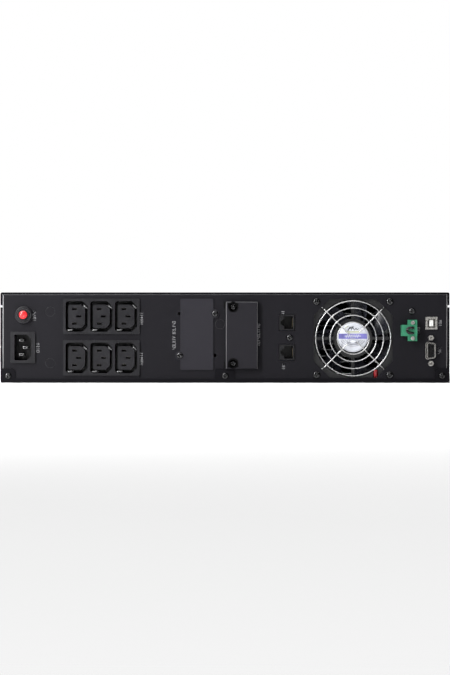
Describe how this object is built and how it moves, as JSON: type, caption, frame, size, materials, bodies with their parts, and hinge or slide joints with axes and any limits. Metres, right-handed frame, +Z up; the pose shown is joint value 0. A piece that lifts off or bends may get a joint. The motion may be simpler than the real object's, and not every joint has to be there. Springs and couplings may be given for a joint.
{
  "type": "rackmount ups",
  "caption": "Two-unit rackmount uninterruptible power supply with outlet banks, guarded fan, network, USB and serial ports, a pull-out battery drawer and a turning display.",
  "frame": {"origin": "under the middle of the case, on the surface it rests on", "axes": "+X to the right seen from the rear, +Y towards the front bezel, +Z up"},
  "size_m": [0.438, 0.436, 0.088],
  "materials": {
    "case_paint": "matte",
    "cover_paint": "matte",
    "black_screw": "satin",
    "zinc_steel": "satin",
    "bright_wire": "polished",
    "brass": "satin",
    "aluminium": "satin",
    "black_plastic": "matte",
    "gloss_black": "gloss",
    "bezel_plastic": "satin",
    "pod_plastic": "gloss",
    "red_plastic": "gloss",
    "green_plastic": "satin",
    "white_plastic": "satin",
    "wire_black": "gloss",
    "wire_red": "gloss",
    "board_green": "satin",
    "capacitor_sleeve": "gloss",
    "core": "matte",
    "battery_case": "matte",
    "foam": "matte",
    "screen": "gloss",
    "window": "polished",
    "lamp": "gloss",
    "button_grey": "satin"
  },
  "bodies": {
    "case": {"air_filter": "foam", "base_tray": "case_paint", "battery_bay_wall": "zinc_steel", "battery_jack": "black_plastic", "battery_jack_cover": "cover_paint", "battery_socket": "black_plastic", "breaker_body": "black_plastic", "breaker_nut": "black_plastic", "bulk_capacitors": "capacitor_sleeve", "comm_board": "board_green", "cover_screws": "black_screw", "drawer_runners": "white_plastic", "fan_frame": "black_plastic", "fan_guard": "bright_wire", "fan_leads": "wire_red", "fan_screws": "black_screw", "filter_board": "board_green", "front_bezel": "bezel_plastic", "front_frame": "case_paint", "heat_sinks": "aluminium", "inlet_housing": "black_plastic", "inlet_pins": "zinc_steel", "main_board": "board_green", "network_board": "board_green", "network_contacts": "brass", "network_jacks": "black_plastic", "outlet_banks": "black_plastic", "outlet_contacts": "brass", "panel_screws": "black_screw", "rear_panel": "case_paint", "serial_insert": "black_plastic", "serial_jackscrews": "zinc_steel", "serial_shell": "zinc_steel", "slot_cover": "cover_paint", "stop_header": "green_plastic", "top_cover": "case_paint", "transformer": "core", "usb_insert": "white_plastic", "usb_shell": "zinc_steel"},
    "fan_rotor": {"fan_rotor": "black_plastic"},
    "breaker_button": {"breaker_button": "red_plastic"},
    "display": {"display_pod": "pod_plastic", "pod_back": "black_plastic", "display_window": "window", "lcd_panel": "screen", "control_board": "board_green", "status_lights": "lamp"},
    "button_on": {"button_on": "button_grey"},
    "button_off": {"button_off": "button_grey"},
    "button_select": {"button_select": "button_grey"},
    "battery_drawer": {"battery_tray": "zinc_steel", "batteries": "battery_case", "battery_terminals": "brass", "drawer_plug": "black_plastic", "battery_leads": "wire_red", "drawer_front": "bezel_plastic", "drawer_thumbscrews": "black_screw"},
    "stop_plug": {"stop_plug": "green_plastic", "stop_plug_screws": "zinc_steel", "stop_link_wire": "wire_black"}
  },
  "joints": [
    {"name": "fan_spin", "type": "hinge", "parent": "case", "child": "fan_rotor", "pos_m": [0.125, -0.19, 0.0432], "axis": [0, 1, 0], "continuous": true},
    {"name": "breaker_trip", "type": "slide", "parent": "case", "child": "breaker_button", "axis": [0, -1, 0], "range_m": [0, 0.005]},
    {"name": "display_turn", "type": "hinge", "parent": "case", "child": "display", "pos_m": [0, 0.2, 0.044], "axis": [0, 1, 0], "range_deg": [0, 90]},
    {"name": "drawer_slide", "type": "slide", "parent": "case", "child": "battery_drawer", "axis": [0, 1, 0], "range_m": [0, 0.29]},
    {"name": "stop_plug_pull", "type": "slide", "parent": "case", "child": "stop_plug", "axis": [0, -1, 0], "range_m": [0, 0.018]},
    {"name": "button_on_press", "type": "slide", "parent": "display", "child": "button_on", "axis": [0, -1, 0], "range_m": [0, 0.0012], "stiffness_N_per_m": 400},
    {"name": "button_off_press", "type": "slide", "parent": "display", "child": "button_off", "axis": [0, -1, 0], "range_m": [0, 0.0012], "stiffness_N_per_m": 400},
    {"name": "button_select_press", "type": "slide", "parent": "display", "child": "button_select", "axis": [0, -1, 0], "range_m": [0, 0.0012], "stiffness_N_per_m": 400}
  ]
}
